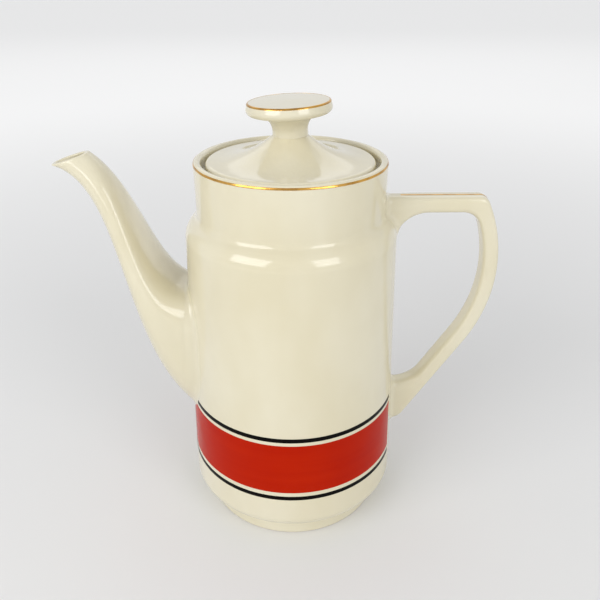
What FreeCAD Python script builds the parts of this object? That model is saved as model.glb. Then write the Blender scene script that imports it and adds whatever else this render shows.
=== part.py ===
import FreeCAD, Part

import math
import os

# A tall earthenware coffee pot with a lift-off lid. Millimetres, +Z up, the foot stands on Z = 0 and the
# pot's axis is the Z axis. The spout points to -X and the handle to +X.

# Pot body, from the foot upwards
FOOT_RADIUS = 48.4
FOOT_HEIGHT = 11.5
FOOT_RING_WIDTH = 5.5
FOOT_ROUNDING = 1.2
FOOT_RECESS = 4.0
FLOOR = 5.0
BASE_ROUNDING = 7.0
WALL_RADIUS_LOW = 56.7
WALL_RADIUS_HIGH = 52.3
WALL_HEIGHT = 151.7
WALL = 4.0
INNER_ROUNDING = 6.0
SHOULDER_ROUNDING = 11.0
SHOULDER_SLOPE = 38.0
NECK_RADIUS = 46.2
NECK_HEIGHT = 32.2
NECK_FILLET = 1.5
RIM_WALL = 3.8
RIM_FLAT = 0.02

# Ledge inside the rim, where the lid sits
LEDGE_DEPTH = 6.2
LEDGE_WIDTH = 4.6
LEDGE_THICKNESS = 4.0
LEDGE_ROUNDING = 1.0

# Lid
LID_RIM_GAP = 1.9
LID_SEAT_GAP = 0.2
LID_EDGE_HEIGHT = 5.2
LID_EDGE_ROUNDING = 2.0
LID_WALL = 4.0
SKIRT_GAP = 1.2
SKIRT_DEPTH = 12.0
SKIRT_WALL = 3.0
SKIRT_ROUNDING = 1.2
BOSS_RADIUS = 8.4
BOSS_HEIGHT = 11.2
BOSS_SLOPE = 52.0
BOSS_CAP = 6.0
FLARE_RADIUS = 28.0
HOLLOW_ROUNDING = 16.0

# Knob, which leans a little on the boss
KNOB_LEAN = 2.6
KNOB_NECK_RADIUS = 8.2
KNOB_NECK_HEIGHT = 8.7
KNOB_NECK_ROUNDING = 7.0
KNOB_RADIUS = 20.7
KNOB_TOP_RADIUS = 19.8
KNOB_UNDERSIDE_SLOPE = 9.0
KNOB_EDGE_HEIGHT = 4.4
KNOB_EDGE_ROUNDING = 2.2
KNOB_TOP_ROUNDING = 0.9
KNOB_CROWN = 0.4
KNOB_SEAT_GAP = 0.05

# Spout. The lower and the upper edge of its side view are Bezier curves, which leave the wall and end at the
# mouth. Offsets are measured outwards from the wall at SPOUT_ROOT_LOW, heights from Z = 0.
SPOUT_ROOT_LOW = 59.5
SPOUT_ROOT_HIGH = 129.9
SPOUT_LOWER_BELLY = (33.9, 100.6)
SPOUT_LOWER_THROAT = (24.0, 184.4)
SPOUT_LIP = (58.0, 192.4)
SPOUT_UPPER_BELLY = (19.4, 132.9)
SPOUT_UPPER_THROAT = (19.0, 181.8)
SPOUT_HEEL = (39.6, 198.2)
SPOUT_ROOT_DEPTH = 50.0
SPOUT_BELLY_DEPTH = 64.0
SPOUT_THROAT_DEPTH = 21.6
SPOUT_MOUTH_DEPTH = 13.0
SPOUT_ROOT_WALL = 4.0
SPOUT_MOUTH_WALL = 2.2
SPOUT_ROOT_SQUARENESS = 4.0
SPOUT_MOUTH_SQUARENESS = 2.4
SPOUT_KEEL_SQUARENESS = 2.0
SPOUT_ROOT_LAG = 1.8
SPOUT_SECTIONS = 9
SPOUT_SECTION_POINTS = 20
SPOUT_SINK = 14.0
SPOUT_HOLE_WIDTH = 20.0
SPOUT_HOLE_HEIGHT = 36.0
SPOUT_HOLE_MIDDLE = 88.0

# Handle. A level arm, a long round back and a straight leg that returns to the wall. The reach is measured
# outwards from the wall at the leg's foot.
ARM_RISE = 13.1
ARM_CORNER = 5.0
ARM_INNER_CORNER = 7.5
ARM_ROOT_ROUNDING = 14.0
ARM_ROOT_OFFSET = 1.6
ARM_ROOT_DROP = 16.0
HANDLE_THICKNESS = 7.9
HANDLE_DEPTH = 11.5
HANDLE_EDGE = 3.2
HANDLE_REACH = 49.4
BACK_RADIUS = 80.0
BACK_DROP = 38.3
LEG_FOOT = 43.5
LEG_FOOT_OFFSET = 4.2
LEG_FOOT_ROUNDING = 6.0
LEG_ROOT_HEIGHT = 24.9
LEG_ROOT_ROUNDING = 18.0

# Decoration: thin layers on the glaze
RED_BAND_BASE = 36.5
RED_BAND_HEIGHT = 29.8
LINE_HEIGHT = 2.4
LINE_GAP_ABOVE = 2.0
LINE_GAP_BELOW = 2.4
BAND_OPENING = 39.0
GOLD_LINE_WIDTH = 1.3
GOLD_LINE_START = 7.0
RIM_GOLD_FROM = 6.0
RIM_GOLD_TO = 38.0
KNOB_GOLD_FROM = 12.0
KNOB_GOLD_TO = 86.0
EDGE_FACETS = 4
LAYER = 0.15
LAYER_GAP = 0.2

# Clearances between pieces that are joined with slip, and between the bands and the spout
SLIP_GAP = 0.1
BAND_CLEARANCE = 0.3

# Heights that follow from the sizes above
SHOULDER_Z = FOOT_HEIGHT + WALL_HEIGHT
RIM_Z = SHOULDER_Z + NECK_HEIGHT
LEDGE_Z = RIM_Z - LEDGE_DEPTH
LID_BASE_Z = LEDGE_Z + LID_SEAT_GAP
LID_TOP_Z = LID_BASE_Z + LID_EDGE_HEIGHT
CREASE_Z = LID_TOP_Z + BOSS_HEIGHT
ARM_TOP_Z = SHOULDER_Z + ARM_RISE

# Radii that follow from the sizes above
RIM_INNER_RADIUS = NECK_RADIUS - RIM_WALL
LEDGE_RADIUS = RIM_INNER_RADIUS - LEDGE_WIDTH
LID_RADIUS = RIM_INNER_RADIUS - LID_RIM_GAP
SKIRT_RADIUS = LEDGE_RADIUS - SKIRT_GAP
LIP_ROUNDING = (RIM_WALL - RIM_FLAT) / 2

# Points nearer than this count as one
TOUCHING = 1e-6
AXIS = FreeCAD.Vector(0, 0, 1)
ORIGIN = FreeCAD.Vector(0, 0, 0)


def at(x, z, y=0.0):
    """A point given by its place in the side view."""
    return FreeCAD.Vector(x, y, z)


def wall_radius(z):
    """Outer radius of the tapered wall at a height."""
    share = (z - FOOT_HEIGHT) / WALL_HEIGHT
    return WALL_RADIUS_LOW + (WALL_RADIUS_HIGH - WALL_RADIUS_LOW) * share


def rise(run, degrees):
    """How far a slope climbs over a run."""
    return run * math.tan(math.radians(degrees))


def corner_rounding(before, corner, after):
    """Where an arc in a rounded corner starts, its middle, its end and its centre."""
    rounding = corner[2]
    here = at(*corner[:2])
    back = (at(*before[:2]) - here).normalize()
    ahead = (at(*after[:2]) - here).normalize()
    half = back.getAngle(ahead) / 2
    run = rounding / math.tan(half)
    inwards = (back + ahead).normalize()
    centre = here + inwards * (rounding / math.sin(half))
    return here + back * run, centre - inwards * rounding, here + ahead * run, centre


def rounded_face(corners):
    """A face in the side view from (x, z, rounding) corners, in order round its outline."""
    edges = []
    count = len(corners)
    ends = []
    for i in range(count):
        x, z, rounding = corners[i]
        if rounding == 0:
            ends.append((at(x, z), None, at(x, z)))
            continue
        first, crest, last, _ = corner_rounding(corners[i - 1], corners[i], corners[(i + 1) % count])
        ends.append((first, crest, last))
    for i in range(count):
        first, crest, last = ends[i]
        if crest is not None:
            edges.append(Part.Arc(first, crest, last).toShape())
        following = ends[(i + 1) % count][0]
        if last.distanceToPoint(following) > TOUCHING:
            edges.append(Part.LineSegment(last, following).toShape())
    return Part.Face(Part.Wire(edges))


def turned(face, start=0.0, sweep=360.0):
    """The solid that a side-view face makes as it turns round the pot's axis."""
    solid = face.revolve(ORIGIN, AXIS, sweep)
    solid.rotate(ORIGIN, AXIS, start)
    return solid


def edge_layer(centre_x, centre_z, radius, start, stop):
    """A thin layer of narrow facets on a rounded edge, between two angles measured from +X towards +Z."""
    inner = radius + LAYER_GAP
    outer = inner + LAYER
    step = math.radians(stop - start) / EDGE_FACETS
    angles = [math.radians(start) + step * i for i in range(EDGE_FACETS + 1)]
    spots = [(inner, angle) for angle in angles]
    spots += [(outer, angle) for angle in reversed(angles)]
    points = []
    for reach, angle in spots:
        points.append(at(centre_x + reach * math.cos(angle), centre_z + reach * math.sin(angle)))
    return Part.Face(Part.makePolygon(points + points[:1]))


def outer_corners(grow=0.0):
    """The outside of the pot body from the foot to the rim, moved outwards by a clearance."""
    shoulder_rise = rise(WALL_RADIUS_HIGH - NECK_RADIUS, SHOULDER_SLOPE)
    return [
        (FOOT_RADIUS + grow, 0, FOOT_ROUNDING),
        (FOOT_RADIUS + grow, FOOT_HEIGHT - grow, 0),
        (WALL_RADIUS_LOW + grow, FOOT_HEIGHT - grow, BASE_ROUNDING + grow),
        (WALL_RADIUS_HIGH + grow, SHOULDER_Z + grow, SHOULDER_ROUNDING + grow),
        (NECK_RADIUS + grow, SHOULDER_Z + grow + shoulder_rise, NECK_FILLET),
    ]


def filled_body(grow):
    """The pot body without its hollow, for trimming what is joined to it."""
    corners = [(0, 0, 0)] + outer_corners(grow) + [(NECK_RADIUS + grow, RIM_Z, 0), (0, RIM_Z, 0)]
    return turned(rounded_face(corners))


def pot_body():
    """The turned pot with its foot ring, lid ledge and the hole behind the spout."""
    floor_z = FOOT_RECESS + FLOOR
    foot_inner = FOOT_RADIUS - FOOT_RING_WIDTH
    shoulder_inner = SHOULDER_Z - rise(WALL, SHOULDER_SLOPE)
    ledge_under = LEDGE_Z - LEDGE_THICKNESS
    corners = [(0, FOOT_RECESS, 0), (foot_inner, FOOT_RECESS, 0), (foot_inner, 0, FOOT_ROUNDING)]
    corners += outer_corners()
    corners += [
        (NECK_RADIUS, RIM_Z, LIP_ROUNDING),
        (RIM_INNER_RADIUS, RIM_Z, LIP_ROUNDING),
        (RIM_INNER_RADIUS, LEDGE_Z, 0),
        (LEDGE_RADIUS, LEDGE_Z, LEDGE_ROUNDING),
        (LEDGE_RADIUS, ledge_under, LEDGE_ROUNDING),
        (RIM_INNER_RADIUS, ledge_under - LEDGE_WIDTH, 0),
        (RIM_INNER_RADIUS, shoulder_inner + rise(WALL_RADIUS_HIGH - NECK_RADIUS, SHOULDER_SLOPE), 0),
        (WALL_RADIUS_HIGH - WALL, shoulder_inner, SHOULDER_ROUNDING - WALL),
        (wall_radius(floor_z) - WALL, floor_z, INNER_ROUNDING),
        (0, floor_z, 0),
    ]
    return turned(rounded_face(corners)).cut(spout_hole())


def spout_hole():
    """A round-ended upright hole through the wall behind the spout."""
    half = SPOUT_HOLE_WIDTH / 2
    straight = (SPOUT_HOLE_HEIGHT - SPOUT_HOLE_WIDTH) / 2
    length = 2 * SPOUT_SINK + 2 * WALL
    start = -wall_radius(SPOUT_HOLE_MIDDLE) - length / 2
    block = Part.makeBox(
        length,
        SPOUT_HOLE_WIDTH,
        2 * straight,
        FreeCAD.Vector(start, -half, SPOUT_HOLE_MIDDLE - straight),
    )
    ends = [
        Part.makeCylinder(half, length, at(start, SPOUT_HOLE_MIDDLE + side * straight), FreeCAD.Vector(1, 0, 0))
        for side in (-1, 1)
    ]
    return block.multiFuse(ends).removeSplitter()


def bezier(values, share):
    """A point, or a plain number, on a cubic Bezier curve."""
    back = 1 - share
    first, second, third, last = values
    return (
        first * back**3
        + second * (3 * back**2 * share)
        + third * (3 * back * share**2)
        + last * share**3
    )


def between(first, last, share):
    """A value part of the way from one to another."""
    return first + (last - first) * share


def spout_place(offset, z):
    """A point of the spout's side view, from its distance beyond the wall."""
    return at(-(wall_radius(SPOUT_ROOT_LOW) + offset), z)


def spout_lag(share):
    """The upper edge's share of its length, which lags near the root so that sections stand square."""
    return share ** between(SPOUT_ROOT_LAG, 1.0, share)


def spout_edges(share, sink):
    """The lower and the upper point of the spout's side view at a share of its length.

    A sink carries both edges straight on into the body.
    """
    lower_curve = (
        at(-wall_radius(SPOUT_ROOT_LOW), SPOUT_ROOT_LOW),
        spout_place(*SPOUT_LOWER_BELLY),
        spout_place(*SPOUT_LOWER_THROAT),
        spout_place(*SPOUT_LIP),
    )
    upper_curve = (
        at(-wall_radius(SPOUT_ROOT_HIGH), SPOUT_ROOT_HIGH),
        spout_place(*SPOUT_UPPER_BELLY),
        spout_place(*SPOUT_UPPER_THROAT),
        spout_place(*SPOUT_HEEL),
    )
    lower = bezier(lower_curve, share) + (lower_curve[0] - lower_curve[1]).normalize() * sink
    upper = bezier(upper_curve, spout_lag(share)) + (upper_curve[0] - upper_curve[1]).normalize() * sink
    return lower, upper


def spout_section(share, sink, inset):
    """A closed curve round the spout at a share of its length, drawn in by an inset.

    Its upper half is squarer than its lower, which makes the soft ridge along the spout's shoulder.
    """
    lower, upper = spout_edges(share, sink)
    depths = (SPOUT_ROOT_DEPTH, SPOUT_BELLY_DEPTH, SPOUT_THROAT_DEPTH, SPOUT_MOUTH_DEPTH)
    lower_depth = bezier(depths, share)
    upper_depth = bezier(depths, spout_lag(share))
    half_length = lower.distanceToPoint(upper) / 2 - inset
    along = (upper - lower).normalize()
    across = FreeCAD.Vector(0, 1, 0)
    middle = (lower + upper) / 2
    shoulder = 2 / between(SPOUT_ROOT_SQUARENESS, SPOUT_MOUTH_SQUARENESS, share)
    keel = 2 / SPOUT_KEEL_SQUARENESS
    points = []
    for i in range(SPOUT_SECTION_POINTS):
        angle = 2 * math.pi * i / SPOUT_SECTION_POINTS
        up, side = math.cos(angle), math.sin(angle)
        power = shoulder if up > 0 else keel
        up = math.copysign(abs(up) ** power, up)
        side = math.copysign(abs(side) ** power, side)
        half_depth = between(lower_depth, upper_depth, (1 + up) / 2) / 2 - inset
        points.append(middle + along * (half_length * up) + across * (half_depth * side))
    curve = Part.BSplineCurve()
    steps = [i / SPOUT_SECTION_POINTS for i in range(SPOUT_SECTION_POINTS + 1)]
    curve.interpolate(Points=points, PeriodicFlag=True, Parameters=steps)
    return curve


def skinned(curves, places):
    """A closed solid whose skin passes through closed curves, each at its place along the solid."""
    grid = []
    for spots in zip(*(curve.getPoles() for curve in curves)):
        line = Part.BSplineCurve()
        line.interpolate(Points=list(spots), Parameters=places)
        grid.append(line.getPoles())
    round_it = curves[0]
    surface = Part.BSplineSurface()
    surface.buildFromPolesMultsKnots(
        grid,
        round_it.getMultiplicities(),
        line.getMultiplicities(),
        round_it.getKnots(),
        line.getKnots(),
        True,
        False,
        round_it.Degree,
        line.Degree,
    )
    ends = [Part.Face(Part.Wire(curve.toShape())) for curve in (curves[0], curves[-1])]
    skin = Part.Compound([surface.toShape()] + ends)
    skin.sewShape()
    return Part.Solid(skin.Shells[0])


def spout_form(wall_share, grow=0.0):
    """The spout's outside, or its bore, from inside the body to the mouth."""
    stations = [(0.0, SPOUT_SINK), (0.0, SPOUT_SINK / 2)]
    stations += [(i / (SPOUT_SECTIONS - 1), 0.0) for i in range(SPOUT_SECTIONS)]
    curves = []
    places = []
    before = None
    for share, sink in stations:
        inset = wall_share * between(SPOUT_ROOT_WALL, SPOUT_MOUTH_WALL, share) - grow
        curves.append(spout_section(share, sink, inset))
        lower, upper = spout_edges(share, sink)
        middle = (lower + upper) / 2
        places.append(places[-1] + middle.distanceToPoint(before) if places else 0.0)
        before = middle
    return skinned(curves, places)


def spout():
    """The hollow spout, trimmed to the wall that it is joined to."""
    return spout_form(0.0).cut(spout_form(1.0)).cut(filled_body(SLIP_GAP))


def handle_lines():
    """The middle of the handle's round back, and the angle at which the straight leg leaves it."""
    foot_x = wall_radius(LEG_FOOT)
    centre = at(foot_x + HANDLE_REACH - BACK_RADIUS, ARM_TOP_Z - BACK_DROP)
    foot = at(foot_x + LEG_FOOT_OFFSET, LEG_FOOT)
    to_foot = foot - centre
    bearing = math.atan2(to_foot.z, to_foot.x)
    return centre, bearing + math.acos(BACK_RADIUS / to_foot.Length)


def arm_angle(centre, radius, z, corner):
    """The angle at which the round back runs into the corner of the level arm."""
    return math.asin((z - corner - centre.z) / (radius - corner))


def tangent_x(centre, radius, angle, z):
    """Where the line that touches a circle at an angle passes a height."""
    return centre.x + (radius - math.sin(angle) * (z - centre.z)) / math.cos(angle)


def back_corner(centre, radius, upper, lower):
    """Where the two lines that touch the back's circle cross."""
    distance = radius / math.cos((upper - lower) / 2)
    middle = (upper + lower) / 2
    return (centre.x + distance * math.cos(middle), centre.z + distance * math.sin(middle), radius)


def handle():
    """The ear handle: its side view drawn out to its depth, with soft edges, trimmed to the body."""
    centre, leg = handle_lines()
    inner_radius = BACK_RADIUS - HANDLE_THICKNESS
    under = ARM_TOP_Z - HANDLE_THICKNESS
    arm = arm_angle(centre, BACK_RADIUS, ARM_TOP_Z, ARM_CORNER)
    inner_arm = arm_angle(centre, inner_radius, under, ARM_INNER_CORNER)
    leg_top = LEG_FOOT + LEG_ROOT_HEIGHT
    core = NECK_RADIUS - 2 * WALL
    root_x = wall_radius(under) + ARM_ROOT_OFFSET
    root_z = under - ARM_ROOT_DROP
    corners = [
        (core, ARM_TOP_Z, 0),
        (tangent_x(centre, BACK_RADIUS, arm, ARM_TOP_Z), ARM_TOP_Z, ARM_CORNER),
        back_corner(centre, BACK_RADIUS, arm, leg),
        (tangent_x(centre, BACK_RADIUS, leg, LEG_FOOT), LEG_FOOT, LEG_FOOT_ROUNDING),
        (core, LEG_FOOT, 0),
        (core, leg_top, 0),
        (tangent_x(centre, inner_radius, leg, leg_top), leg_top, LEG_ROOT_ROUNDING),
        back_corner(centre, inner_radius, inner_arm, leg),
        (tangent_x(centre, inner_radius, inner_arm, under), under, ARM_INNER_CORNER),
        (root_x, under, ARM_ROOT_ROUNDING),
        (root_x - 2 * ARM_ROOT_OFFSET, root_z, 0),
        (core, root_z, 0),
    ]
    half = HANDLE_DEPTH / 2
    face = rounded_face(corners)
    face.translate(FreeCAD.Vector(0, -half, 0))
    solid = face.extrude(FreeCAD.Vector(0, HANDLE_DEPTH, 0))
    body = filled_body(SLIP_GAP)
    long_edges = [
        edge
        for edge in solid.Edges
        if abs(abs(edge.CenterOfMass.y) - half) < TOUCHING
        and not body.isInside(edge.CenterOfMass, TOUCHING, True)
    ]
    return solid.makeFillet(HANDLE_EDGE, long_edges).cut(body)


def lid():
    """The lid with its skirt, its flared boss and the hollow under it."""
    skirt_z = LEDGE_Z - SKIRT_DEPTH
    skirt_inner = SKIRT_RADIUS - SKIRT_WALL
    under_z = LID_TOP_Z - LID_WALL
    spread = 1 / math.tan(math.radians(BOSS_SLOPE))
    flare_x = BOSS_RADIUS + BOSS_HEIGHT * spread
    hollow_z = CREASE_Z - BOSS_CAP
    hollow_x = flare_x + LID_WALL * spread - LID_WALL / math.sin(math.radians(BOSS_SLOPE))
    lean = rise(BOSS_RADIUS, KNOB_LEAN)
    face = rounded_face(
        [
            (0, hollow_z, 0),
            (hollow_x - (hollow_z - under_z) * spread, hollow_z, 0),
            (hollow_x, under_z, HOLLOW_ROUNDING),
            (skirt_inner, under_z, SKIRT_ROUNDING),
            (skirt_inner, skirt_z, SKIRT_ROUNDING),
            (SKIRT_RADIUS, skirt_z, SKIRT_ROUNDING),
            (SKIRT_RADIUS, LID_BASE_Z, 0),
            (LID_RADIUS, LID_BASE_Z, 0),
            (LID_RADIUS, LID_TOP_Z, LID_EDGE_ROUNDING),
            (flare_x, LID_TOP_Z, FLARE_RADIUS),
            (BOSS_RADIUS - lean * spread, CREASE_Z + lean, 0),
            (0, CREASE_Z + lean, 0),
        ]
    )
    side = 4 * BOSS_RADIUS
    above = Part.makeBox(side, side, side, FreeCAD.Vector(-side / 2, -side / 2, CREASE_Z))
    return turned(face).cut(leaned(above))


def leaned(shape):
    """A shape turned with the knob's lean, about the middle of the crease under the knob."""
    copy = shape.copy()
    copy.rotate(at(0, CREASE_Z), FreeCAD.Vector(0, 1, 0), -KNOB_LEAN)
    return copy


def knob_corners():
    """The knob's outline before it leans, from the middle of its seat to the middle of its top."""
    disc_z = CREASE_Z + KNOB_NECK_HEIGHT + rise(KNOB_RADIUS - KNOB_NECK_RADIUS, KNOB_UNDERSIDE_SLOPE)
    top_z = disc_z + KNOB_EDGE_HEIGHT
    return [
        (0, CREASE_Z + KNOB_SEAT_GAP, 0),
        (BOSS_RADIUS, CREASE_Z + KNOB_SEAT_GAP, 0),
        (KNOB_NECK_RADIUS, CREASE_Z + KNOB_NECK_HEIGHT, KNOB_NECK_ROUNDING),
        (KNOB_RADIUS, disc_z, KNOB_EDGE_ROUNDING),
        (KNOB_TOP_RADIUS, top_z, KNOB_TOP_ROUNDING),
        (0, top_z + KNOB_CROWN, 0),
    ]


def knob():
    """The mushroom knob with its waist, its disc and a faintly crowned top."""
    return leaned(turned(rounded_face(knob_corners())))


def wall_layer(base, height):
    """A painted ring on the wall, open at the handle and cut away round the spout."""
    inner = LAYER_GAP
    outer = LAYER_GAP + LAYER
    face = rounded_face(
        [
            (wall_radius(base) + inner, base, 0),
            (wall_radius(base) + outer, base, 0),
            (wall_radius(base + height) + outer, base + height, 0),
            (wall_radius(base + height) + inner, base + height, 0),
        ]
    )
    ring = turned(face, BAND_OPENING / 2, 360 - BAND_OPENING)
    return ring.cut(spout_form(0.0, BAND_CLEARANCE))


def rim_gold_line():
    """The gilded outer edge of the rim."""
    centre_x = NECK_RADIUS - LIP_ROUNDING
    centre_z = RIM_Z - LIP_ROUNDING
    return turned(edge_layer(centre_x, centre_z, LIP_ROUNDING, RIM_GOLD_FROM, RIM_GOLD_TO))


def knob_gold_line():
    """The gilded top edge of the knob."""
    *_, centre = corner_rounding(*knob_corners()[-3:])
    return leaned(turned(edge_layer(centre.x, centre.z, KNOB_TOP_ROUNDING, KNOB_GOLD_FROM, KNOB_GOLD_TO)))


def handle_gold_line():
    """The gilded line along the flat top of the arm."""
    centre, _ = handle_lines()
    arm = arm_angle(centre, BACK_RADIUS, ARM_TOP_Z, ARM_CORNER)
    end = centre.x + (BACK_RADIUS - ARM_CORNER) * math.cos(arm)
    start = NECK_RADIUS + GOLD_LINE_START
    return Part.makeBox(
        end - start,
        GOLD_LINE_WIDTH,
        LAYER,
        FreeCAD.Vector(start, -GOLD_LINE_WIDTH / 2, ARM_TOP_Z + LAYER_GAP),
    )


def main():
    """Builds every piece and writes it to its own file."""
    band_top = RED_BAND_BASE + RED_BAND_HEIGHT
    pieces = {
        "pot_body": pot_body(),
        "spout": spout(),
        "handle": handle(),
        "lid": lid(),
        "knob": knob(),
        "red_band": wall_layer(RED_BAND_BASE, RED_BAND_HEIGHT),
        "upper_black_line": wall_layer(band_top + LINE_GAP_ABOVE, LINE_HEIGHT),
        "lower_black_line": wall_layer(RED_BAND_BASE - LINE_GAP_BELOW - LINE_HEIGHT, LINE_HEIGHT),
        "rim_gold_line": rim_gold_line(),
        "knob_gold_line": knob_gold_line(),
        "handle_gold_line": handle_gold_line(),
    }
    os.makedirs("parts", exist_ok=True)
    for name, shape in pieces.items():
        print(name, shape.ShapeType, len(shape.Solids), shape.isValid(), round(shape.Volume), shape.BoundBox)
        shape.exportStep("parts/" + name + ".step")


if __name__ == "__main__":
    main()
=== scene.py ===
"""A tall cream coffee pot with red, black and gilded bands, dressed for a plain studio picture.

Sizes are in millimetres in the pot's own frame: +Z up, the foot on Z = 0, the spout towards -X and the
handle towards +X. Meshes are scaled to metres when they are finished.
"""

from __future__ import annotations

import logging
import math
from dataclasses import dataclass, field
from enum import Enum
from typing import Iterable, NamedTuple, Sequence, TypeVar

import bmesh
import bpy
from mathutils import Matrix, Vector

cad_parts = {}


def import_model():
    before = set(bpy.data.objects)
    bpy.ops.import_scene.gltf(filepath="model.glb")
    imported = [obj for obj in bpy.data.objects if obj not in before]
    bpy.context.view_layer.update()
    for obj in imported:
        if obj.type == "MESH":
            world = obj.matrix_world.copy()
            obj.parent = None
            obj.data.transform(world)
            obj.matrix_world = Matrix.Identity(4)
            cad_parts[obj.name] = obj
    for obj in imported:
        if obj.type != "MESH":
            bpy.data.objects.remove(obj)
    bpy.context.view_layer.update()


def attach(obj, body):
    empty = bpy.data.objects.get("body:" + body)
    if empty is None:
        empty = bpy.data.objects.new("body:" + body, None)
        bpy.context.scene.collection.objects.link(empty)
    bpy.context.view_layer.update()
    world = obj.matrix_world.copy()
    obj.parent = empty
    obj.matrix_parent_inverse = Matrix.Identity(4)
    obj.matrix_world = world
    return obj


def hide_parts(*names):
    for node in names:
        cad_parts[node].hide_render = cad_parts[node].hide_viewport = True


LOG = logging.getLogger("coffee_pot")

MM = 0.001
QUARTER_TURN = 90.0
HALF_TURN = 180.0
FULL_TURN = 360.0
UP = Vector((0, 0, 1))
ORIGIN = Vector((0, 0, 0))

# How finely the meshes are made, in millimetres, degrees and steps
MERGE = 0.002
ARC_STEP = 7.0
SUPPORT = 0.5
SHORTEST_RUN = 1.5
LONGEST_RUN = 7.0
TURN_STEPS = 192
FEWEST_STEPS = 3
SHARP_ANGLE = math.radians(42)

# What the shaders share
UNIT = (0.0, 1.0)
WHITE = (1.0, 1.0, 1.0)

Pair = tuple[float, float]
Triple = tuple[float, float, float]
Colour = Triple
Row = list[Vector]
Mesh = bmesh.types.BMesh
Socket = bpy.types.NodeSocket
Value = float | Socket
Number = TypeVar("Number", float, Vector)


class Body(Enum):
    """The bodies that pieces ride on."""

    POT = "pot"
    COVER = "cover"


class Slot(Enum):
    """The record's material slots."""

    GLAZE = "cream_glaze"
    RED = "red_enamel"
    BLACK = "black_enamel"
    GOLD = "gilding"


class Corner(NamedTuple):
    """A corner of a side view, with the radius that rounds it."""

    x: float
    z: float
    rounding: float = 0.0


class Grain(NamedTuple):
    """A noise pattern: patches per metre, finer layers, and how much finer it is along each axis."""

    scale: float
    detail: float = 2.0
    stretch: Triple = (1, 1, 1)


class Relief(NamedTuple):
    """A bump: its pattern, and its height in metres."""

    grain: Grain
    height: float


RIPPLE = Relief(Grain(scale=75.0, detail=1.0), height=0.00028)


def mix(first: float, last: float, share: float) -> float:
    """A value part of the way from one to another."""
    return first + (last - first) * share


def shares(count: int) -> list[float]:
    """Even shares of a run, without its end."""
    return [i / count for i in range(count)]


def rise(run: float, degrees: float) -> float:
    """How far a slope climbs over a run."""
    return run * math.tan(math.radians(degrees))


def side(x: float, z: float, y: float = 0.0) -> Vector:
    """A point given by its place in the side view."""
    return Vector((x, y, z))


def polar(centre: Vector, radius: float, degrees: float) -> Vector:
    """A point of the side view at an angle from +X towards +Z."""
    angle = math.radians(degrees)
    return centre + side(radius * math.cos(angle), radius * math.sin(angle))


def arc(centre: Vector, radius: float, first: float, last: float, steps: int) -> Row:
    """Points along an arc of the side view between two angles, without its end."""
    return [polar(centre, radius, mix(first, last, share)) for share in shares(steps)]


def rounding_arc(before: Corner, corner: Corner, after: Corner) -> tuple[Row, Vector]:
    """Works out the arc that rounds a corner.

    Args:
        before: The corner before it.
        corner: The corner to round.
        after: The corner after it.

    Returns:
        The points of the arc, and its centre.
    """
    here = side(corner.x, corner.z)
    if corner.rounding == 0:
        return [here], here
    back = (side(before.x, before.z) - here).normalized()
    ahead = (side(after.x, after.z) - here).normalized()
    half = back.angle(ahead) / 2
    run = corner.rounding / math.tan(half)
    centre = here + (back + ahead).normalized() * (corner.rounding / math.sin(half))
    first = (here + back * run - centre).normalized()
    last = (here + ahead * run - centre).normalized()
    steps = max(FEWEST_STEPS, math.ceil(math.degrees(first.angle(last)) / ARC_STEP))
    return [centre + first.slerp(last, i / steps) * corner.rounding for i in range(steps + 1)], centre


def run_points(first: Vector, last: Vector) -> Row:
    """Works out points inside a straight run, so that its shading stays flat up to its ends.

    Args:
        first: Where the run starts.
        last: Where it ends.

    Returns:
        The points between the ends, in order.
    """
    length = (last - first).length
    if length < SHORTEST_RUN:
        return []
    steps = max(1, math.ceil((length - 2 * SUPPORT) / LONGEST_RUN))
    places = [mix(SUPPORT, length - SUPPORT, i / steps) / length for i in range(steps + 1)]
    return [first.lerp(last, place) for place in places]


def outline(corners: Sequence[Corner]) -> Row:
    """Draws an open side view through corners, with its first and last corner left sharp.

    Args:
        corners: The corners in order.

    Returns:
        The points of the side view.
    """
    points = [side(corners[0].x, corners[0].z)]
    for before, corner, after in zip(corners, corners[1:], corners[2:]):
        rounded, _ = rounding_arc(before, corner, after)
        points += run_points(points[-1], rounded[0]) + rounded
    last = side(corners[-1].x, corners[-1].z)
    return points + run_points(points[-1], last) + [last]


def spun(points: Row, start: float = 0.0, sweep: float = FULL_TURN, loop: bool = False) -> Mesh:
    """Turns a side view round the pot's axis.

    Args:
        points: The side view.
        start: Where the turn starts, in degrees from +X.
        sweep: How far it goes, in degrees.
        loop: Whether the side view is closed.

    Returns:
        The turned skin, closed at the ends of a part turn.
    """
    mesh = bmesh.new()
    verts = [mesh.verts.new(point) for point in points]
    pairs = list(zip(verts, verts[1:])) + ([(verts[-1], verts[0])] if loop else [])
    edges = [mesh.edges.new(pair) for pair in pairs]
    bmesh.ops.rotate(mesh, verts=verts, cent=ORIGIN, matrix=Matrix.Rotation(math.radians(start), 3, "Z"))
    full = sweep == FULL_TURN
    bmesh.ops.spin(
        mesh,
        geom=verts + edges,
        cent=ORIGIN,
        axis=UP,
        dvec=ORIGIN,
        angle=math.radians(sweep),
        steps=max(FEWEST_STEPS, round(TURN_STEPS * sweep / FULL_TURN)),
        use_merge=full,
        use_duplicate=False,
    )
    if not full:
        bmesh.ops.holes_fill(mesh, edges=[edge for edge in mesh.edges if edge.is_boundary])
    return mesh


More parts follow.
